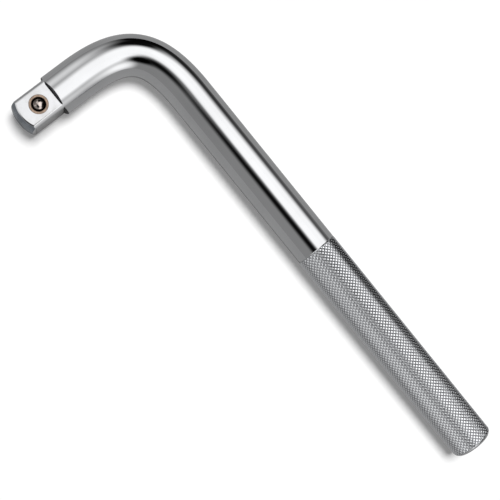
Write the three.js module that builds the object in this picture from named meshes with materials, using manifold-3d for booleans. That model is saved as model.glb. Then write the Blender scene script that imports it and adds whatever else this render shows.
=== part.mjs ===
// L-handle socket wrench, in millimetres, +Z up.
// One round bar lies flat and bends through a right angle. The short arm runs along -X and ends in a square drive
// with a sprung detent ball in its upper flat. The long arm runs along -Y and ends in a diamond-knurled grip.
import * as THREE from "three";
import { mergeVertices, toCreasedNormals } from "three/addons/utils/BufferGeometryUtils.js";
import Module from "manifold-3d";

// Bar, with both arms measured from the point where their axes cross
const BAR_DIAMETER = 24.6;
const SHORT_ARM = 85;
const LONG_ARM = 301;
const BEND_REACH = 46.5; // crossing to where each arm starts to bend
const BEND_TIGHTNESS = 0.762; // share of the reach that each control arm of the bend covers
const BEND_WAIST = 0.36; // radius that bending takes from the bar in its plane, at the middle

// Square drive, milled on the turned end of the short arm
const SQUARE = 19.05; // across flats, 3/4 in
const DRIVE_LENGTH = 24.3; // shoulder to end face
const END_FACE_DIAMETER = 9;
const CROWN_RADIUS = 20; // turned crown from the end face to the corners

// Knurled grip on the end of the long arm
const GRIP_LENGTH = 142;
const KNURL_STARTS = 24; // grooves of each hand round the bar
const KNURL_ANGLE = 41; // degrees between a groove and the bar's axis
const KNURL_RISE = 0.15; // crests above the plain bar
const KNURL_DEPTH = 0.6; // crest to root
const END_CHAMFER = 1.4;

// Detent in the drive's upper flat
const DETENT_FROM_SHOULDER = 10.9;
const BALL_DIAMETER = 8;
const BALL_PROUD = 1.6; // ball above the flat at rest
const BALL_CLEARANCE = 0.15; // all round the ball, in its bore and under its lip
const LIP_HOLD = 0.25; // the lip's opening is this much smaller than the ball, on the radius
const LIP_LAND = 0.2; // thickness of the lip's edge
const MOUTH_BEVEL = 0.3; // lip's opening to the bevelled mouth at the flat, on the radius
const RING_WALL = 1.25;
const RING_SKIRT = 0.8; // ring's foot below the ball's centre
const RING_FIT = 0.05;
const WIRE_DIAMETER = 0.8;
const SPRING_DIAMETER = 6.4; // outside
const SPRING_LENGTH = 8; // between the wire's end centres, as fitted
const SPRING_TURNS = 5;
const SPRING_SEAT_GAP = 0.15; // wire to ball, and wire to the bore's floor

// Facets
const BAR_SIDES = 2 * KNURL_STARTS; // crest and root alternate round the grip
const CROWN_STEPS = 6;
const BEND_STEPS = 24;
const DETENT_SIDES = 32;
const SEAT_STEPS = 4;
const WIRE_SIDES = 5;
const STEPS_PER_TURN = 8;
const CUT_MARGIN = 2; // how far a cutter runs past the metal
const CREASE_ANGLE = THREE.MathUtils.degToRad(25);

const UP = new THREE.Vector3(0, 0, 1);
const SHORT_ARM_AXIS = new THREE.Vector3(1, 0, 0);
const LONG_ARM_AXIS = new THREE.Vector3(0, -1, 0);

const barRadius = BAR_DIAMETER / 2;
const crestRadius = barRadius + KNURL_RISE;
const rootRadius = crestRadius - KNURL_DEPTH;
const halfSquare = SQUARE / 2;
const shoulderX = DRIVE_LENGTH - SHORT_ARM;

// Detent sizes, with depths counted down from the flat
const ballRadius = BALL_DIAMETER / 2;
const ballDepth = ballRadius - BALL_PROUD;
const boreRadius = ballRadius + BALL_CLEARANCE;
const ringRadius = boreRadius + RING_WALL;
const ringDepth = ballDepth + RING_SKIRT;
const wireRadius = WIRE_DIAMETER / 2;
const coilRadius = SPRING_DIAMETER / 2 - wireRadius;
const springTop = ballDepth + Math.sqrt((ballRadius + wireRadius + SPRING_SEAT_GAP) ** 2 - coilRadius ** 2);
const boreDepth = springTop + SPRING_LENGTH + wireRadius + SPRING_SEAT_GAP;

const wasm = await Module();
wasm.setup();

// Solid of a closed geometry, for cutting.
function solidOf(geometry) {
  const bare = new THREE.BufferGeometry();
  bare.setAttribute("position", geometry.getAttribute("position"));
  bare.setIndex(geometry.getIndex());
  const merged = mergeVertices(bare);
  return new wasm.Manifold(
    new wasm.Mesh({
      numProp: 3,
      vertProperties: new Float32Array(merged.attributes.position.array),
      triVerts: new Uint32Array(merged.index.array),
    }),
  );
}

// Geometry of a cut solid.
function geometryOf(solid) {
  const mesh = solid.getMesh();
  const geometry = new THREE.BufferGeometry();
  geometry.setAttribute("position", new THREE.BufferAttribute(mesh.vertProperties, 3));
  geometry.setIndex(new THREE.BufferAttribute(mesh.triVerts, 1));
  return geometry;
}

// Section of a bar or wire: points round its centre, square to its run, the first of them on the side given.
// A squeezed section is thinner by that much on the radius, towards that side and away from it.
function section(centre, run, firstSide, sides, radiusAt, squeeze = 0) {
  const across = new THREE.Vector3().crossVectors(firstSide, run);
  return Array.from({ length: sides }, (_, side) => {
    const turn = (2 * Math.PI * side) / sides;
    const radius = radiusAt(side);
    return centre
      .clone()
      .addScaledVector(firstSide, (radius - squeeze) * Math.cos(turn))
      .addScaledVector(across, radius * Math.sin(turn));
  });
}

// Closed skin over sections of equal size. Each cell's diagonal joins its odd corners, where a knurl has its roots.
function loft(sections) {
  const sides = sections[0].length;
  const last = (sections.length - 1) * sides;
  const triangles = [];
  for (let row = 0; row < sections.length - 1; row++) {
    for (let side = 0; side < sides; side++) {
      const here = row * sides + side;
      const beside = row * sides + ((side + 1) % sides);
      const beyond = here + sides;
      const opposite = beside + sides;
      if ((row + side) % 2) triangles.push(here, beyond, opposite, here, opposite, beside);
      else triangles.push(here, beyond, beside, beside, beyond, opposite);
    }
  }
  for (let side = 1; side < sides - 1; side++) {
    triangles.push(0, side, side + 1, last, last + side + 1, last + side);
  }
  const geometry = new THREE.BufferGeometry().setFromPoints(sections.flat());
  geometry.setIndex(triangles);
  return geometry;
}

// Turns a shape made about three.js's Y axis to stand along Z.
function upright(geometry) {
  return geometry.rotateX(Math.PI / 2);
}

// Distance from the crown's highest point, along the axis, to where it has a given radius.
function crownDrop(radius) {
  return CROWN_RADIUS - Math.sqrt(CROWN_RADIUS ** 2 - radius ** 2);
}

// The bar in the round, from the drive's crowned end, round the bend, to the chamfered end of the grip.
function roundBar() {
  const sections = [];
  const addSection = (centre, run, radiusAt, squeeze) => {
    const insideOfBend = new THREE.Vector3().crossVectors(run, UP);
    sections.push(section(centre, run, insideOfBend, BAR_SIDES, radiusAt, squeeze));
  };
  const endFaceRadius = END_FACE_DIAMETER / 2;
  for (let step = 0; step <= CROWN_STEPS; step++) {
    const radius = THREE.MathUtils.lerp(endFaceRadius, barRadius, step / CROWN_STEPS);
    const x = crownDrop(radius) - crownDrop(endFaceRadius) - SHORT_ARM;
    addSection(new THREE.Vector3(x, 0, 0), SHORT_ARM_AXIS, () => radius);
  }
  const control = BEND_REACH * (1 - BEND_TIGHTNESS);
  const bend = new THREE.CubicBezierCurve3(
    new THREE.Vector3(-BEND_REACH, 0, 0),
    new THREE.Vector3(-control, 0, 0),
    new THREE.Vector3(0, -control, 0),
    new THREE.Vector3(0, -BEND_REACH, 0),
  );
  for (let step = 0; step <= BEND_STEPS; step++) {
    const share = step / BEND_STEPS;
    const waist = BEND_WAIST * Math.sin(Math.PI * share) ** 2;
    addSection(bend.getPoint(share), bend.getTangent(share), () => barRadius, waist);
  }
  const gripStart = LONG_ARM - END_CHAMFER - GRIP_LENGTH;
  const diamondWidth = (2 * Math.PI * barRadius) / KNURL_STARTS;
  const diamondLength = diamondWidth / Math.tan(THREE.MathUtils.degToRad(KNURL_ANGLE));
  const rows = Math.round((2 * GRIP_LENGTH) / diamondLength);
  for (let row = 0; row <= rows; row++) {
    const parity = sections.length;
    const plain = row === 0 || row === rows;
    const knurlRadius = (side) => ((parity + side) % 2 ? rootRadius : crestRadius);
    const centre = new THREE.Vector3(0, -gripStart - (row * GRIP_LENGTH) / rows, 0);
    addSection(centre, LONG_ARM_AXIS, plain ? () => barRadius : knurlRadius);
  }
  addSection(new THREE.Vector3(0, -LONG_ARM, 0), LONG_ARM_AXIS, () => barRadius - END_CHAMFER);
  return loft(sections);
}

// Cutter that mills one flat of the drive, up to the shoulder, on the upper side.
function flatCutter() {
  const length = DRIVE_LENGTH + CUT_MARGIN;
  const height = barRadius - halfSquare + CUT_MARGIN;
  const cutter = new THREE.BoxGeometry(length, BAR_DIAMETER + CUT_MARGIN, height);
  return cutter.translate(shoulderX - length / 2, 0, halfSquare + height / 2);
}

// Cutter for the ring's seat and the ball's bore below it.
function boreCutter() {
  const seatRadius = ringRadius + RING_FIT;
  const seatDepth = ringDepth + RING_FIT;
  const profile = [
    new THREE.Vector2(0, -boreDepth),
    new THREE.Vector2(boreRadius, -boreDepth),
    new THREE.Vector2(boreRadius, -seatDepth),
    new THREE.Vector2(seatRadius, -seatDepth),
    new THREE.Vector2(seatRadius, CUT_MARGIN),
    new THREE.Vector2(0, CUT_MARGIN),
  ];
  const cutter = upright(new THREE.LatheGeometry(profile, DETENT_SIDES));
  return cutter.translate(shoulderX - DETENT_FROM_SHOULDER, 0, halfSquare);
}

function handleBar() {
  let solid = solidOf(roundBar());
  for (let quarter = 0; quarter < 4; quarter++) {
    solid = solid.subtract(solidOf(flatCutter().rotateX((quarter * Math.PI) / 2)));
  }
  return geometryOf(solid.subtract(solidOf(boreCutter())));
}

// Ring pressed into the flat. Its lip follows the ball and keeps it from coming out.
function retainingRing() {
  const lipRadius = ballRadius - LIP_HOLD;
  const lipAngle = Math.acos(lipRadius / boreRadius);
  const lipFoot = ballDepth - boreRadius * Math.sin(lipAngle);
  const profile = [
    new THREE.Vector2(lipRadius + MOUTH_BEVEL, 0),
    new THREE.Vector2(lipRadius, LIP_LAND - lipFoot),
  ];
  for (let step = SEAT_STEPS; step >= 0; step--) {
    const angle = (lipAngle * step) / SEAT_STEPS;
    profile.push(new THREE.Vector2(boreRadius * Math.cos(angle), boreRadius * Math.sin(angle) - ballDepth));
  }
  profile.push(new THREE.Vector2(boreRadius, -ringDepth));
  profile.push(new THREE.Vector2(ringRadius, -ringDepth));
  profile.push(new THREE.Vector2(ringRadius, 0));
  profile.push(profile[0].clone());
  return upright(new THREE.LatheGeometry(profile, DETENT_SIDES));
}

function detentBall() {
  return upright(new THREE.SphereGeometry(ballRadius, DETENT_SIDES, DETENT_SIDES / 2));
}

// Least distance between points of the wire that lie at least half a turn apart along it.
function leastCoilGap(sections) {
  let least = Infinity;
  for (let first = 0; first < sections.length; first++) {
    for (let second = first + STEPS_PER_TURN / 2; second < sections.length; second++) {
      for (const a of sections[first]) {
        for (const b of sections[second]) least = Math.min(least, a.distanceTo(b));
      }
    }
  }
  return least;
}

// Compression spring: one unbroken coil, wound up from the floor of the bore.
function detentSpring() {
  const steps = SPRING_TURNS * STEPS_PER_TURN;
  const sections = [];
  for (let step = 0; step <= steps; step++) {
    const turn = (2 * Math.PI * step) / STEPS_PER_TURN;
    const climb = SPRING_LENGTH / (2 * Math.PI * SPRING_TURNS);
    const outward = new THREE.Vector3(Math.cos(turn), Math.sin(turn), 0);
    const centre = outward.clone().multiplyScalar(coilRadius);
    centre.z = (SPRING_LENGTH * step) / steps - springTop - SPRING_LENGTH;
    const run = new THREE.Vector3(-Math.sin(turn) * coilRadius, Math.cos(turn) * coilRadius, climb).normalize();
    sections.push(section(centre, run, outward, WIRE_SIDES, () => wireRadius));
  }
  console.log(`Detent spring: least gap between coils ${leastCoilGap(sections).toFixed(2)} mm`);
  return loft(sections);
}

const chrome = new THREE.MeshStandardMaterial({ color: 0xd8dade, roughness: 0.08, metalness: 1 });
const copper = new THREE.MeshStandardMaterial({ color: 0xb98a6a, roughness: 0.35, metalness: 1 });
const hardenedSteel = new THREE.MeshStandardMaterial({ color: 0x8f8a86, roughness: 0.12, metalness: 1 });
const springSteel = new THREE.MeshStandardMaterial({ color: 0x6f7276, roughness: 0.4, metalness: 1 });

function piece(name, geometry, material) {
  const mesh = new THREE.Mesh(toCreasedNormals(geometry, CREASE_ANGLE), material);
  mesh.name = name;
  return mesh;
}

const detent = new THREE.Group();
detent.position.set(shoulderX - DETENT_FROM_SHOULDER, 0, halfSquare);
const ball = piece("detent_ball", detentBall(), hardenedSteel);
ball.position.z = -ballDepth;
detent.add(ball);
detent.add(piece("retaining_ring", retainingRing(), copper));
detent.add(piece("detent_spring", detentSpring(), springSteel));

// The wrench lies on its side, centred over the origin.
const reach = Math.max(barRadius, crestRadius);
const wrench = new THREE.Group();
wrench.position.set((SHORT_ARM - reach) / 2, (LONG_ARM - barRadius) / 2, reach);
wrench.add(piece("handle_bar", handleBar(), chrome));
wrench.add(detent);

const root = new THREE.Group();
root.add(wrench);
export default root;
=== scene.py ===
# L-handle socket wrench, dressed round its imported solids. The scene is in metres, +Z up.
# Shapes are drawn in millimetres from the point where the two arms' axes cross, then set in place.
from math import acos, cos, pi, radians, sin, sqrt, tan

import bmesh
import bpy
from mathutils import Matrix, Vector
from mathutils.geometry import interpolate_bezier


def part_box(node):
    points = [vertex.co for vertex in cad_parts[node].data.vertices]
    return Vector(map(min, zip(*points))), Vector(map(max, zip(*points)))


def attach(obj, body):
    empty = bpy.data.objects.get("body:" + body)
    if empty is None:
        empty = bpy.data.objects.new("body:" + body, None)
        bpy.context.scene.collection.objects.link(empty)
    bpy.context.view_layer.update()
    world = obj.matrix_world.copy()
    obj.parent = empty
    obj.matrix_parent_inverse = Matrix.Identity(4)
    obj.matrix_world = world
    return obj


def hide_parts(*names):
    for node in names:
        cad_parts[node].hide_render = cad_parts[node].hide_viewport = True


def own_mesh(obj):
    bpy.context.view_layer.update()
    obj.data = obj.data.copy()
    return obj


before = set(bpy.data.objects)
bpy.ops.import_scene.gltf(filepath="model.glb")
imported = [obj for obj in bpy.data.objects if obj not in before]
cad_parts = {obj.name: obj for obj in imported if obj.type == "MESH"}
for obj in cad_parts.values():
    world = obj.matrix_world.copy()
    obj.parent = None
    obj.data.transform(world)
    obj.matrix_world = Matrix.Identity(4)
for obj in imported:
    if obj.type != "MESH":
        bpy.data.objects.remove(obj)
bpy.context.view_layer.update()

# Bar: the short arm runs along -X, the long arm along -Y
BAR_RADIUS = 12.3
SHORT_ARM = 85.0
LONG_ARM = 301.0
BEND_REACH = 46.5  # crossing to where each arm starts to bend
BEND_TIGHTNESS = 0.762  # share of the reach that each control arm of the bend covers
BEND_WAIST = 0.36  # radius that bending takes from the bar in its plane
BAR_SIDES = 140
BEND_STEPS = 48

# Square drive
HALF_SQUARE = 9.525
DRIVE_LENGTH = 24.3
END_FACE_RADIUS = 4.5
CROWN_RADIUS = 20.0
CROWN_STEPS = 14
SHOULDER_X = DRIVE_LENGTH - SHORT_ARM
SHOULDER_FOOT = SHOULDER_X - 0.65
SHOULDER_LEAN = radians(15)  # from upright, back over the shank
SHANK_START = SHOULDER_X + 1.0
EDGE_BREAKS = ((0.15, 0.12), (0.55, 0.2))  # width and drop of each step of a flat's broken edge
EDGE_DROP = sum(drop for _, drop in EDGE_BREAKS)
SHOULDER_SLOT, CROWN_SLOT, FLAT_SLOT = 1, 2, 3  # finishes other than the bar's own

# Knurled grip
GRIP_LENGTH = 142.0
GRIP_END_CHAMFER = 1.4
GRIP_START = LONG_ARM - GRIP_END_CHAMFER - GRIP_LENGTH
KNURL_STARTS = 33  # grooves of each hand round the bar
KNURL_ANGLE = 46.3  # degrees between a groove and the bar's axis
CREST_RADIUS = 12.45
KNURL_DEPTH = 0.3
ROOT_RADIUS = CREST_RADIUS - KNURL_DEPTH
KNURL_FLANK = 0.48  # groove's middle to the crest's edge, along the surface
CREST_ROUNDING = 0.2  # crest's edge to its flat middle, along the surface
CREST_CROWN = 0.02  # rise of the crest's middle over its edge
KNURL_RUN_IN = 0.3  # length over which the plain bar passes into the knurl
HALF_DIAMOND_SHARE = 0.6  # of the flank and the depth, where the end of the grip cuts a diamond in half

# Detent in the drive's upper flat, depths counted down from the flat
DETENT_X = SHOULDER_X - 10.9
BALL_RADIUS = 4.0
BALL_DEPTH = 2.4
BORE_RADIUS = 4.15
BORE_DEPTH = 14.536
RING_RADIUS = 5.4
RING_DEPTH = 3.2
RING_FIT = 0.05
LIP_RADIUS = 3.75
LIP_LAND = 0.2
MOUTH_RADIUS = 4.05
RING_EDGE = 0.12
SEAT_STEPS = 8
DETENT_SIDES = 96
WIRE_RADIUS = 0.4
COIL_RADIUS = 2.8
SPRING_TOP = 5.986
SPRING_LENGTH = 8.0
SPRING_TURNS = 5
WIRE_SIDES = 16
STEPS_PER_TURN = 36

# Finishes
PLATE_BLEND = 0.2  # either side of where one plate passes into another
GROOVE_SHADE_HEIGHT = 0.16  # height of the painted shade over the bottom of the grooves
RING_SHADE_REACH = 0.25  # reach of the painted shade outside the ring's mouth
RING_SHADE_FULL = 0.05  # how far inside the mouth it is darkest
BALL_UNSHADED = 2.6  # radius round the ball's top that is free of the painted shade
BALL_SHADED = 3.0
TURNING_PITCH = 0.3
NOISE_LOW, NOISE_HIGH = 0.35, 0.65  # where most of a noise lies
HAIRLINE = 0.006  # half width of a hairline, in the noise that draws it

MM = 0.001
MICRON = 0.000001
TOUCH = 1e-4
SLACK = 0.01  # how far a point may stray that came through many sections
UP = Vector((0, 0, 1))
SHORT_RUN = Vector((1, 0, 0))
LONG_RUN = Vector((0, -1, 0))
DETENT = Vector((DETENT_X, 0, HALF_SQUARE))
CREASE = radians(18)

bar_low, bar_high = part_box("handle_bar")
crossing = Vector(
    (bar_high.x - CREST_RADIUS * MM, bar_high.y - BAR_RADIUS * MM, bar_low.z + CREST_RADIUS * MM)
)
in_place = Matrix.Translation(crossing) @ Matrix.Scale(MM, 4)


def finished(bm, name, materials, body, node):
    """The drawn shape as a piece on its body, in its solid's place. All but flats is shaded smooth."""
    bmesh.ops.remove_doubles(bm, verts=bm.verts, dist=TOUCH)
    bmesh.ops.recalc_face_normals(bm, faces=bm.faces)
    bmesh.ops.transform(bm, matrix=in_place, verts=bm.verts)
    mesh = bpy.data.meshes.new(name)
    bm.to_mesh(mesh)
    bm.free()
    mesh.set_sharp_from_angle(angle=CREASE)
    for face in mesh.polygons:
        face.use_smooth = face.material_index != FLAT_SLOT
    for material in materials:
        mesh.materials.append(material)
    piece = bpy.data.objects.new(name, mesh)
    bpy.context.scene.collection.objects.link(piece)
    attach(piece, body)
    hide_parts(node)
    return piece


def stand(centre, run, inward, upright=None):
    """Where a round section stands: X to the inside of the bend, Z along its run, scaled to its radii."""
    side = run.cross(UP).normalized()
    axes = Matrix((side, run.cross(side), run)).transposed().to_4x4()
    return Matrix.Translation(centre) @ axes @ Matrix.Diagonal((inward, upright or inward, 1, 1))


def edges_between(verts):
    """Edges with both ends among these points."""
    inside = set(verts)
    return list({edge for vert in verts for edge in vert.link_edges if edge.other_vert(vert) in inside})


def sweep(bm, stations, sides):
    """Skin drawn through the stations, open at both ends. Gives the loop of edges at each end."""
    verts = bmesh.ops.create_circle(bm, segments=sides, radius=1, matrix=stations[0])["verts"]
    first = loop = edges_between(verts)
    for here, beyond in zip(stations, stations[1:]):
        grown = bmesh.ops.extrude_edge_only(bm, edges=loop)["geom"]
        verts = [part for part in grown if isinstance(part, bmesh.types.BMVert)]
        bmesh.ops.transform(bm, matrix=beyond @ here.inverted(), verts=verts)
        loop = edges_between(verts)
    return first, loop


def crown_drop(radius):
    """Distance along the axis from the crown's highest point to where it has this radius."""
    return CROWN_RADIUS - sqrt(CROWN_RADIUS**2 - radius**2)


def round_stations():
    """Sections from the drive's crowned end, along the short arm and round the bend, to the grip."""
    stations = []
    for step in range(CROWN_STEPS + 1):
        radius = END_FACE_RADIUS + (BAR_RADIUS - END_FACE_RADIUS) * step / CROWN_STEPS
        x = crown_drop(radius) - crown_drop(END_FACE_RADIUS) - SHORT_ARM
        stations.append(stand(Vector((x, 0, 0)), SHORT_RUN, radius))
    stations.append(stand(Vector((SHANK_START, 0, 0)), SHORT_RUN, BAR_RADIUS))
    control = BEND_REACH * (1 - BEND_TIGHTNESS)
    bend = interpolate_bezier(
        (-BEND_REACH, 0, 0), (-control, 0, 0), (0, -control, 0), (0, -BEND_REACH, 0), BEND_STEPS + 1
    )
    runs = [SHORT_RUN]
    runs += [(after - before).normalized() for before, after in zip(bend, bend[2:])]
    runs += [LONG_RUN]
    for step, (point, run) in enumerate(zip(bend, runs)):
        waist = BEND_WAIST * sin(pi * step / BEND_STEPS) ** 2
        stations.append(stand(point, run, BAR_RADIUS - waist, BAR_RADIUS))
    stations.append(stand(LONG_RUN * (GRIP_START - KNURL_RUN_IN), LONG_RUN, BAR_RADIUS))
    return stations


def mill_flat(bm, outward):
    """Cuts one flat of the drive up to its leaning shoulder and breaks its edges. Gives the flat's face."""
    foot = SHORT_RUN * SHOULDER_FOOT + outward * (HALF_SQUARE - EDGE_DROP)
    back = outward * sin(SHOULDER_LEAN) - SHORT_RUN * cos(SHOULDER_LEAN)

    def beyond(part, normal):
        place = part.co if isinstance(part, bmesh.types.BMVert) else part.calc_center_median()
        return (place - foot).dot(normal)

    def cut(faces, normal):
        edges = list({edge for face in faces for edge in face.edges})
        verts = list({vert for face in faces for vert in face.verts})
        bmesh.ops.bisect_plane(bm, geom=verts + edges + faces, dist=TOUCH, plane_co=foot, plane_no=normal)

    def drive_faces():
        return [face for face in bm.faces if face.calc_center_median().x < SHANK_START]

    cut(drive_faces(), outward)
    cut([face for face in drive_faces() if beyond(face, outward) > TOUCH], back)
    waste = [face for face in drive_faces() if beyond(face, outward) > TOUCH and beyond(face, back) > TOUCH]
    bmesh.ops.delete(bm, geom=waste, context="FACES")
    open_edges = [edge for edge in bm.edges if edge.is_boundary and edge.verts[0].co.x < SHANK_START]
    rim = [edge for edge in open_edges if all(abs(beyond(vert, outward)) < TOUCH for vert in edge.verts)]
    arc = [
        edge
        for edge in open_edges
        if all(beyond(vert, outward) > -TOUCH and abs(beyond(vert, back)) < TOUCH for vert in edge.verts)
    ]
    corners = {vert for edge in arc for vert in edge.verts if abs(beyond(vert, outward)) < TOUCH}
    chord = bm.edges.new(corners)
    bmesh.ops.edgeloop_fill(bm, edges=arc + [chord], mat_nr=SHOULDER_SLOT)
    flat = bmesh.ops.edgeloop_fill(bm, edges=rim + [chord])["faces"][0]
    flat.normal_update()
    if flat.normal.dot(outward) < 0:
        flat.normal_flip()
    for width, drop in EDGE_BREAKS:
        bmesh.ops.inset_individual(bm, faces=[flat], thickness=width, depth=drop, use_even_offset=True)
    flat.material_index = FLAT_SLOT
    return flat


def well(radius, depth):
    """Where a round section of the detent's bore stands."""
    return Matrix.Translation(DETENT - UP * depth) @ Matrix.Diagonal((radius, radius, 1, 1))


def sink_detent(bm, flat):
    """Bores the seat and the hole for the detent through a flat, and skins it again round the mouth."""
    seat_radius = RING_RADIUS + RING_FIT
    seat_depth = RING_DEPTH + RING_FIT
    seat = [(seat_radius, 0), (seat_radius, seat_depth)]
    hole = [(BORE_RADIUS, seat_depth), (BORE_RADIUS, BORE_DEPTH)]
    mouth, floor = sweep(bm, [well(radius, depth) for radius, depth in seat + hole], DETENT_SIDES)
    bmesh.ops.edgeloop_fill(bm, edges=floor)
    outline = list(flat.edges)
    bmesh.ops.delete(bm, geom=[flat], context="FACES_ONLY")
    skin = bmesh.ops.triangle_fill(bm, use_beauty=True, edges=outline + mouth, normal=UP)["geom"]
    for part in skin:
        if isinstance(part, bmesh.types.BMFace):
            part.material_index = FLAT_SLOT


def from_grip_axis(place):
    return Vector((place.x, 0, place.z))


def open_ring(bm, y):
    """Open edges round the grip at this place along it."""
    open_edges = [edge for edge in bm.edges if edge.is_boundary]
    return [edge for edge in open_edges if all(abs(vert.co.y - y) < SLACK for vert in edge.verts)]


def knurl(bm):
    """Grip of raised diamonds between two hands of grooves. Gives the loop of edges at each end."""
    length = 2 * pi * BAR_RADIUS / KNURL_STARTS / tan(radians(KNURL_ANGLE))
    rows = round(GRIP_LENGTH / length)
    places = [LONG_RUN * (GRIP_START + GRIP_LENGTH * row / rows) for row in range(rows + 1)]
    plain = set(bm.faces)
    sweep(bm, [stand(place, LONG_RUN, ROOT_RADIUS) for place in places], KNURL_STARTS)
    cells = [face for face in bm.faces if face not in plain]
    seams = list({edge for face in cells for edge in face.edges if not edge.is_boundary})
    for crossing_point in bmesh.ops.poke(bm, faces=cells)["verts"]:
        outward = from_grip_axis(crossing_point.co)
        crossing_point.co += outward.normalized() * (ROOT_RADIUS - outward.length)
    bmesh.ops.dissolve_edges(bm, edges=seams)
    diamonds = [face for face in bm.faces if face not in plain]
    inward = [f for f in diamonds if f.normal.dot(from_grip_axis(f.calc_center_median())) < 0]
    bmesh.ops.reverse_faces(bm, faces=inward)
    halves = [face for face in diamonds if len(face.verts) == 3]
    wholes = [face for face in diamonds if len(face.verts) == 4]
    for faces, share in ((wholes, 1.0), (halves, HALF_DIAMOND_SHARE)):
        for flank, rise in ((KNURL_FLANK, KNURL_DEPTH - CREST_CROWN), (CREST_ROUNDING, CREST_CROWN)):
            bmesh.ops.inset_individual(
                bm, faces=faces, thickness=flank * share, depth=rise * share, use_even_offset=True
            )
    return open_ring(bm, places[0].y), open_ring(bm, places[-1].y)


def handle_bar(*materials):
    bm = bmesh.new()
    tip, shank = sweep(bm, round_stations(), BAR_SIDES)
    bmesh.ops.edgeloop_fill(bm, edges=tip)
    crown_end = crown_drop(BAR_RADIUS) - crown_drop(END_FACE_RADIUS) - SHORT_ARM
    for face in bm.faces:
        if face.calc_center_median().x < crown_end:
            face.material_index = CROWN_SLOT
    flats = [mill_flat(bm, Matrix.Rotation(quarter * pi / 2, 3, "X") @ UP) for quarter in range(4)]
    sink_detent(bm, flats[0])
    grip_start, grip_end = knurl(bm)
    end_stations = [
        stand(LONG_RUN * (LONG_ARM - GRIP_END_CHAMFER + KNURL_RUN_IN), LONG_RUN, BAR_RADIUS - KNURL_RUN_IN),
        stand(LONG_RUN * LONG_ARM, LONG_RUN, BAR_RADIUS - GRIP_END_CHAMFER),
    ]
    chamfer, end = sweep(bm, end_stations, BAR_SIDES)
    bmesh.ops.bridge_loops(bm, edges=shank + grip_start)
    bmesh.ops.bridge_loops(bm, edges=grip_end + chamfer)
    bmesh.ops.edgeloop_fill(bm, edges=end)
    finished(bm, "chromed_handle_bar", materials, "wrench", "handle_bar")


def ring_profile():
    """Half section of the ring: a lip that follows the ball, over a skirt in the seat."""
    seat_radius = BORE_RADIUS
    lip_angle = acos(LIP_RADIUS / seat_radius)
    lip_foot = BALL_DEPTH - seat_radius * sin(lip_angle)
    profile = [(MOUTH_RADIUS, 0), (LIP_RADIUS, LIP_LAND - lip_foot)]
    for step in range(SEAT_STEPS, -1, -1):
        angle = lip_angle * step / SEAT_STEPS
        profile.append((seat_radius * cos(angle), seat_radius * sin(angle) - BALL_DEPTH))
    profile += [(seat_radius, -RING_DEPTH), (RING_RADIUS, -RING_DEPTH)]
    profile += [(RING_RADIUS, -RING_EDGE), (RING_RADIUS - RING_EDGE, 0)]
    return profile


def retaining_ring(*materials):
    bm = bmesh.new()
    verts = [bm.verts.new(DETENT + Vector((radius, 0, height))) for radius, height in ring_profile()]
    edges = [bm.edges.new(pair) for pair in zip(verts, verts[1:] + verts[:1])]
    bmesh.ops.spin(
        bm, geom=verts + edges, cent=DETENT, axis=UP, angle=2 * pi, steps=DETENT_SIDES, use_merge=True
    )
    finished(bm, "copper_retaining_ring", materials, "wrench", "retaining_ring")


def detent_ball(*materials):
    bm = bmesh.new()
    bmesh.ops.create_uvsphere(
        bm,
        u_segments=DETENT_SIDES,
        v_segments=DETENT_SIDES // 2,
        radius=BALL_RADIUS,
        matrix=Matrix.Translation(DETENT - UP * BALL_DEPTH),
    )
    finished(bm, "steel_detent_ball", materials, "detent", "detent_ball")


def detent_spring(*materials):
    bm = bmesh.new()
    steps = SPRING_TURNS * STEPS_PER_TURN
    climb = SPRING_LENGTH / (2 * pi * SPRING_TURNS)
    stations = []
    for step in range(steps + 1):
        turn = 2 * pi * step / STEPS_PER_TURN
        height = SPRING_LENGTH * step / steps - SPRING_TOP - SPRING_LENGTH
        centre = DETENT + Vector((COIL_RADIUS * cos(turn), COIL_RADIUS * sin(turn), height))
        run = Vector((-COIL_RADIUS * sin(turn), COIL_RADIUS * cos(turn), climb)).normalized()
        stations.append(stand(centre, run, WIRE_RADIUS))
    for end in sweep(bm, stations, WIRE_SIDES):
        bmesh.ops.edgeloop_fill(bm, edges=end)
    piece = finished(bm, "wound_detent_spring", materials, "wrench", "detent_spring")
    height = SPRING_LENGTH + 2 * WIRE_RADIUS
    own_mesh(piece)


def node(tree, kind, **settings):
    """A new shader node with these settings."""
    made = tree.nodes.new("ShaderNode" + kind)
    for name, value in settings.items():
        setattr(made, name, value)
    return made


def feed(tree, socket, value):
    """Wires a socket to another node's output, or sets it to a plain value."""
    if isinstance(value, bpy.types.NodeSocket):
        tree.links.new(value, socket)
    else:
        socket.default_value = value


def worked(tree, operation, *values):
    """Math on values."""
    made = node(tree, "Math", operation=operation)
    for socket, value in zip(made.inputs, values):
        feed(tree, socket, value)
    return made.outputs[0]


def along(tree, operation, *vectors):
    """Vector math, as a value."""
    made = node(tree, "VectorMath", operation=operation)
    for socket, vector in zip(made.inputs, vectors):
        feed(tree, socket, vector)
    return made.outputs["Value"]


def ramp(tree, value, start, end, low=0.0, high=1.0):
    """Soft rise from low to high as the value goes from start to end."""
    made = node(tree, "MapRange", interpolation_type="SMOOTHSTEP")
    names = ("Value", "From Min", "From Max", "To Min", "To Max")
    for name, setting in zip(names, (value, start, end, low, high)):
        feed(tree, made.inputs[name], setting)
    return made.outputs["Result"]


def between(tree, share, first, second):
    """Value between two values."""
    made = node(tree, "Mix", data_type="FLOAT")
    for socket, value in zip(made.inputs[0:1] + made.inputs[2:4], (share, first, second)):
        feed(tree, socket, value)
    return made.outputs[0]


def tinted(tree, share, first, second):
    """Colour between two colours."""
    made = node(tree, "Mix", data_type="RGBA")
    for socket, value in zip(made.inputs[0:1] + made.inputs[6:8], (share, first, second)):
        feed(tree, socket, value)
    return made.outputs[2]


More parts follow.
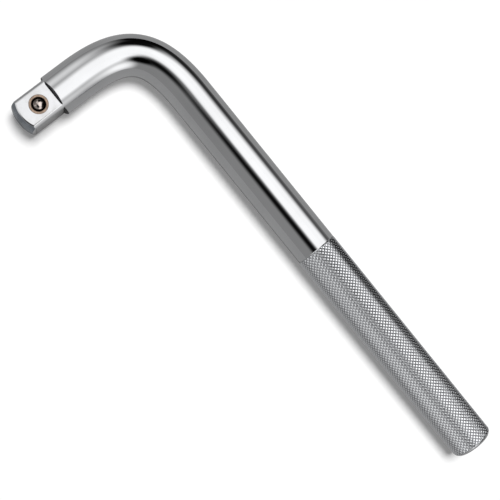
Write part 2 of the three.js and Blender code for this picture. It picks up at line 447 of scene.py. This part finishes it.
def buffing_marks():
    """Group shared by the metals: soft clouds, fine grain and hairlines, from a place on the metal."""
    tree = bpy.data.node_groups.new("buffing marks", "ShaderNodeTree")
    tree.interface.new_socket("Place", in_out="INPUT", socket_type="NodeSocketVector")
    for name in ("Cloud Scale", "Grain Scale", "Hairline Scale"):
        tree.interface.new_socket(name, in_out="INPUT", socket_type="NodeSocketFloat")
    for name in ("Clouds", "Grain", "Hairlines"):
        tree.interface.new_socket(name, in_out="OUTPUT", socket_type="NodeSocketFloat")
    given = tree.nodes.new("NodeGroupInput").outputs
    results = tree.nodes.new("NodeGroupOutput").inputs

    def noise(scale, detail):
        made = node(tree, "TexNoise")
        made.inputs["Detail"].default_value = detail
        feed(tree, made.inputs["Vector"], given["Place"])
        feed(tree, made.inputs["Scale"], given[scale])
        return made.outputs["Fac"]

    feed(tree, results["Clouds"], ramp(tree, noise("Cloud Scale", 4), NOISE_LOW, NOISE_HIGH))
    feed(tree, results["Grain"], ramp(tree, noise("Grain Scale", 2), NOISE_LOW, NOISE_HIGH))
    from_line = worked(tree, "ABSOLUTE", worked(tree, "SUBTRACT", noise("Hairline Scale", 1), 0.5))
    feed(tree, results["Hairlines"], ramp(tree, from_line, HAIRLINE, 0.0))
    return tree


MARKS = buffing_marks()


def metal(name, cloud_scale, grain_scale, hairline_scale):
    """A metal with its place on the piece and its marks, ready for colours."""
    material = bpy.data.materials.new(name)
    material.use_nodes = True
    tree = material.node_tree
    shader = tree.nodes["Principled BSDF"]
    shader.inputs["Metallic"].default_value = 1
    place = node(tree, "TexCoord").outputs["Object"]
    marks = node(tree, "Group", node_tree=MARKS)
    feed(tree, marks.inputs["Place"], place)
    marks.inputs["Cloud Scale"].default_value = cloud_scale
    marks.inputs["Grain Scale"].default_value = grain_scale
    marks.inputs["Hairline Scale"].default_value = hairline_scale
    return material, tree, shader, place, marks.outputs


def grained(tree, shader, height, depth):
    """Raises the metal's surface by a height, up to this depth in metres."""
    bump = node(tree, "Bump")
    bump.inputs["Distance"].default_value = depth
    feed(tree, bump.inputs["Height"], height)
    feed(tree, shader.inputs["Normal"], bump.outputs["Normal"])


def from_axis(tree, place, across, axis):
    """Distance of a place from an axis, counted in the directions across it."""
    level = node(tree, "VectorMath", operation="MULTIPLY")
    feed(tree, level.inputs[0], place)
    level.inputs[1].default_value = across
    return along(tree, "DISTANCE", level.outputs[0], Vector(axis) * Vector(across))


def bright_chrome():
    """Chrome plate: mirror bright on the bar, a little duller and painted brighter on the knurl, with
    painted shade in its grooves.
    """
    material, tree, shader, place, marks = metal("bright chrome plate", 45, 2400, 160)
    bar = node(tree, "SeparateXYZ")
    feed(tree, bar.inputs[0], place)
    grip_top = crossing.y - GRIP_START * MM
    grip_foot = grip_top - GRIP_LENGTH * MM
    blend = PLATE_BLEND * MM
    below_top = ramp(tree, bar.outputs["Y"], grip_top + blend, grip_top - blend)
    above_foot = ramp(tree, bar.outputs["Y"], grip_foot - blend, grip_foot + blend)
    grip = worked(tree, "MULTIPLY", below_top, above_foot)
    radius = from_axis(tree, place, (1, 0, 1), crossing)
    # painted shade: the base colour darkens towards the bottoms of the knurl's grooves
    groove = ramp(tree, radius, (ROOT_RADIUS + GROOVE_SHADE_HEIGHT) * MM, ROOT_RADIUS * MM)
    groove = worked(tree, "MULTIPLY", groove, grip)
    clouds = marks["Clouds"]
    plate = tinted(tree, clouds, (0.695, 0.7, 0.71, 1), (0.655, 0.66, 0.67, 1))
    # painted light: the knurl's plate is painted brighter than the polished plate
    plate = tinted(tree, grip, plate, (0.93, 0.94, 0.965, 1))
    feed(tree, shader.inputs["Base Color"], tinted(tree, groove, plate, (0.19, 0.2, 0.21, 1)))
    polished = ramp(tree, clouds, 0.0, 1.0, 0.035, 0.06)
    knurled = ramp(tree, clouds, 0.0, 1.0, 0.12, 0.18)
    roughness = between(tree, grip, polished, knurled)
    feed(tree, shader.inputs["Roughness"], worked(tree, "MULTIPLY_ADD", marks["Hairlines"], 0.05, roughness))
    coarse = ramp(tree, grip, 0.0, 1.0, 0.02, 0.5)
    grained(tree, shader, worked(tree, "MULTIPLY", marks["Grain"], coarse), 8 * MICRON)
    return material


def brushed_flat():
    """Plate over the milled flats of the drive: the cutter's fine lines still show."""
    material, tree, shader, place, marks = metal("brushed flat", 130, 2400, 260)
    plate = tinted(tree, marks["Clouds"], (0.68, 0.685, 0.7, 1), (0.6, 0.6, 0.605, 1))
    feed(tree, shader.inputs["Base Color"], plate)
    brushed = ramp(tree, marks["Clouds"], 0.0, 1.0, 0.07, 0.13)
    feed(tree, shader.inputs["Roughness"], worked(tree, "MULTIPLY_ADD", marks["Hairlines"], 0.06, brushed))
    cutter = node(tree, "TexWave", bands_direction="X")
    feed(tree, cutter.inputs["Vector"], place)
    cutter.inputs["Scale"].default_value = 620
    cutter.inputs["Distortion"].default_value = 1.2
    lines = worked(tree, "MULTIPLY_ADD", marks["Grain"], 0.2, cutter.outputs["Fac"])
    grained(tree, shader, lines, 2 * MICRON)
    return material


def dull_shoulder_painted_dark():
    """Plate in the corner behind the drive's flats: dull, and painted near black as shade in the corner."""
    material, tree, shader, _, marks = metal("dull shoulder with painted shade", 300, 3000, 500)
    # painted shade: the shoulder face is painted near black
    dark = tinted(tree, marks["Clouds"], (0.03, 0.03, 0.032, 1), (0.07, 0.07, 0.072, 1))
    feed(tree, shader.inputs["Base Color"], dark)
    feed(tree, shader.inputs["Roughness"], ramp(tree, marks["Grain"], 0.0, 1.0, 0.38, 0.5))
    grained(tree, shader, marks["Grain"], 20 * MICRON)
    return material


def satin_crown_painted_dark():
    """Plate over the turned end of the drive: satin, with faint rings from the tool, and painted darker than
    the bar's plate as shade.
    """
    material, tree, shader, place, marks = metal("satin crown with painted shade", 160, 2600, 400)
    # painted shade: the crown's plate is painted darker than the polished plate
    satin = tinted(tree, marks["Clouds"], (0.38, 0.41, 0.45, 1), (0.27, 0.295, 0.33, 1))
    feed(tree, shader.inputs["Base Color"], satin)
    feed(tree, shader.inputs["Roughness"], ramp(tree, marks["Grain"], 0.0, 1.0, 0.2, 0.3))
    radius = from_axis(tree, place, (0, 1, 1), crossing)
    turns = worked(tree, "MULTIPLY", radius, 2 * pi / (TURNING_PITCH * MM))
    rings = worked(tree, "MULTIPLY_ADD", worked(tree, "SINE", turns), 0.3, marks["Grain"])
    grained(tree, shader, rings, 6 * MICRON)
    return material


def dull_copper():
    """Copper of the ring, painted dark at its mouth: painted shade where the ring meets the ball."""
    material, tree, shader, place, marks = metal("dull copper", 500, 4000, 700)
    radius = from_axis(tree, place, (1, 1, 0), in_place @ DETENT)
    # painted shade: the copper is painted near black at the mouth, where the ring meets the ball
    dark_share = ramp(tree, radius, (MOUTH_RADIUS + RING_SHADE_REACH) * MM, (MOUTH_RADIUS - RING_SHADE_FULL) * MM)
    copper = tinted(tree, marks["Clouds"], (0.3, 0.225, 0.175, 1), (0.46, 0.34, 0.26, 1))
    feed(tree, shader.inputs["Base Color"], tinted(tree, dark_share, copper, (0.02, 0.012, 0.008, 1)))
    feed(tree, shader.inputs["Roughness"], ramp(tree, marks["Grain"], 0.0, 1.0, 0.3, 0.42))
    grained(tree, shader, marks["Grain"], 15 * MICRON)
    return material


def hard_steel():
    """Polished steel of the ball, a little brown, with painted shade round its waist where it passes under
    the lip, and random smears of dark grease.
    """
    material, tree, shader, place, marks = metal("polished hard steel", 420, 3000, 500)
    radius = from_axis(tree, place, (1, 1, 0), in_place @ DETENT)
    # painted shade: the ball is painted dark round its waist, where it passes under the lip
    waist = ramp(tree, radius, BALL_UNSHADED * MM, BALL_SHADED * MM)
    smears = ramp(tree, marks["Clouds"], 0.55, 0.95, 0.0, 0.8)
    dark_share = worked(tree, "MAXIMUM", waist, smears)
    steel, shade_and_grease_colour = (0.66, 0.58, 0.54, 1), (0.03, 0.02, 0.015, 1)
    feed(tree, shader.inputs["Base Color"], tinted(tree, dark_share, steel, shade_and_grease_colour))
    feed(tree, shader.inputs["Roughness"], ramp(tree, dark_share, 0.0, 1.0, 0.04, 0.22))
    grained(tree, shader, marks["Hairlines"], 2 * MICRON)
    return material


def drawn_wire():
    """Steel wire of the spring."""
    material, tree, shader, _, marks = metal("drawn spring wire", 400, 3500, 600)
    wire = tinted(tree, marks["Clouds"], (0.36, 0.37, 0.38, 1), (0.27, 0.27, 0.28, 1))
    feed(tree, shader.inputs["Base Color"], wire)
    feed(tree, shader.inputs["Roughness"], ramp(tree, marks["Grain"], 0.0, 1.0, 0.3, 0.42))
    grained(tree, shader, marks["Grain"], 15 * MICRON)
    return material


handle_bar(bright_chrome(), dull_shoulder_painted_dark(), satin_crown_painted_dark(), brushed_flat())
retaining_ring(dull_copper())
detent_ball(hard_steel())
detent_spring(drawn_wire())

# Camera, placed from the crossing of the arms
CAMERA_PLACE = Vector((-149.95, -109.18, 617.98))
CAMERA_TARGET = Vector((-29.92, -134.23, 0.0))
PICTURE_UP = Vector((0.62474, 0.77564, 0.0899))
LENS = 80.77
SENSOR = 36.0


def photo_camera():
    data = bpy.data.cameras.new("photo_camera")
    data.lens = LENS
    data.sensor_width = SENSOR
    data.clip_start = 0.01
    camera = bpy.data.objects.new("photo_camera", data)
    bpy.context.scene.collection.objects.link(camera)
    back = (CAMERA_PLACE - CAMERA_TARGET).normalized()
    right = PICTURE_UP.cross(back).normalized()
    turn = Matrix((right, back.cross(right), back)).transposed().to_4x4()
    camera.matrix_world = Matrix.Translation(in_place @ CAMERA_PLACE) @ turn
    bpy.context.scene.camera = camera


photo_camera()

# Studio round the wrench, as the polished metal shows it: soft round patches on grey walls.
# Each is azimuth from +X, angle from straight up, radius and softness in degrees, and brightness.
STUDIO_GREY = 0.29
STUDIO_PATCHES = {
    "low dark wall": (319, 72, 32, 7, 0.002),
    "left panel": (125, 33, 19, 6, 1.0),
    "left low panel": (135, 58, 21, 12, 0.85),
    "far glow": (88, 53, 19, 17, 0.97),
    "near panel": (298, 26, 25, 11, 1.43),
    "top panel": (20, 23, 18, 11, 1.44),
    "side panel": (11, 45, 22, 8, 1.37),
    "overhead panel": (350, 8, 12, 9, 1.4),
    "near window": (259, 68, 19, 16, 1.37),
    "far dark card": (44, 57, 18, 9, 0.004),
    "side dark card": (13, 73, 18, 15, 0.022),
    "corner dark card": (39, 83, 22, 9, 0.003),
    "dark camera": (186, 25, 14, 10, 0.006),
    "dark stand": (222, 36, 17, 8, 0.001),
}
STUDIO_ON_FLOOR = 0.1  # share of the studio's light that reaches the floor
FLOOR_HALF = 6.0
FLOOR_COLOUR = 0.95
FLOOR_OWN_LIGHT = 0.2  # share of the floor's white that no shadow takes
FLOOR_IN_METAL = 0.34  # share of the floor's white that the metal shows
KEY_AZIMUTH = 22
KEY_ZENITH = 12
KEY_WIDTH = 26
KEY_STRENGTH = 3.3


def towards(azimuth, zenith):
    """Unit vector from angles in degrees."""
    level = sin(radians(zenith))
    return Vector((level * cos(radians(azimuth)), level * sin(radians(azimuth)), cos(radians(zenith))))


def studio():
    """White backdrop, with the panels and dark cards that the metal shows standing before it."""
    world = bpy.data.worlds.new("studio")
    world.use_nodes = True
    bpy.context.scene.world = world
    tree = world.node_tree
    direction = node(tree, "TexCoord").outputs["Generated"]
    level = STUDIO_GREY
    for azimuth, zenith, radius, softness, brightness in STUDIO_PATCHES.values():
        angle = worked(tree, "ARCCOSINE", along(tree, "DOT_PRODUCT", direction, towards(azimuth, zenith)))
        patch = ramp(tree, angle, radians(radius + softness), radians(radius - softness))
        level = between(tree, patch, level, brightness)
    ray = node(tree, "LightPath").outputs
    backdrop = worked(tree, "MAXIMUM", ray["Is Camera Ray"], ray["Is Transmission Ray"])
    backdrop = worked(tree, "MAXIMUM", backdrop, ray["Is Glossy Ray"])
    in_view = between(tree, ray["Is Glossy Ray"], 1.0, level)
    on_floor = worked(tree, "MULTIPLY", level, STUDIO_ON_FLOOR)
    background = tree.nodes["Background"]
    background.inputs["Color"].default_value = (1, 1, 1, 1)
    feed(tree, background.inputs["Strength"], between(tree, backdrop, on_floor, in_view))


def pale_floor():
    bm = bmesh.new()
    bmesh.ops.create_grid(bm, x_segments=1, y_segments=1, size=FLOOR_HALF)
    mesh = bpy.data.meshes.new("pale_floor")
    bm.to_mesh(mesh)
    bm.free()
    floor = bpy.data.objects.new("pale_floor", mesh)
    bpy.context.scene.collection.objects.link(floor)
    material = bpy.data.materials.new("pale floor")
    material.use_nodes = True
    mesh.materials.append(material)
    tree = material.node_tree
    tree.nodes.remove(tree.nodes["Principled BSDF"])
    lit = node(tree, "BsdfDiffuse")
    lit.inputs["Color"].default_value = (FLOOR_COLOUR, FLOOR_COLOUR, FLOOR_COLOUR, 1)
    own = node(tree, "Emission")
    white = node(tree, "MixShader")
    feed(tree, white.inputs[0], FLOOR_OWN_LIGHT)
    feed(tree, white.inputs[1], lit.outputs[0])
    feed(tree, white.inputs[2], own.outputs[0])
    dark = node(tree, "BsdfDiffuse")
    dark.inputs["Color"].default_value = (0, 0, 0, 1)
    ray = node(tree, "LightPath").outputs
    seen = worked(tree, "MAXIMUM", ray["Is Camera Ray"], ray["Is Transmission Ray"])
    seen = worked(tree, "MAXIMUM", seen, worked(tree, "MULTIPLY", ray["Is Glossy Ray"], FLOOR_IN_METAL))
    shown = node(tree, "MixShader")
    feed(tree, shown.inputs[0], seen)
    feed(tree, shown.inputs[1], dark.outputs[0])
    feed(tree, shown.inputs[2], white.outputs[0])
    feed(tree, tree.nodes["Material Output"].inputs["Surface"], shown.outputs[0])


def key_light():
    data = bpy.data.lights.new("key_light", "SUN")
    data.energy = KEY_STRENGTH
    data.angle = radians(KEY_WIDTH)
    lamp = bpy.data.objects.new("key_light", data)
    bpy.context.scene.collection.objects.link(lamp)
    lamp.rotation_euler = (0, radians(KEY_ZENITH), radians(KEY_AZIMUTH))
    lamp.visible_glossy = False


studio()
pale_floor()
key_light()
bpy.context.scene.view_settings.view_transform = "Standard"
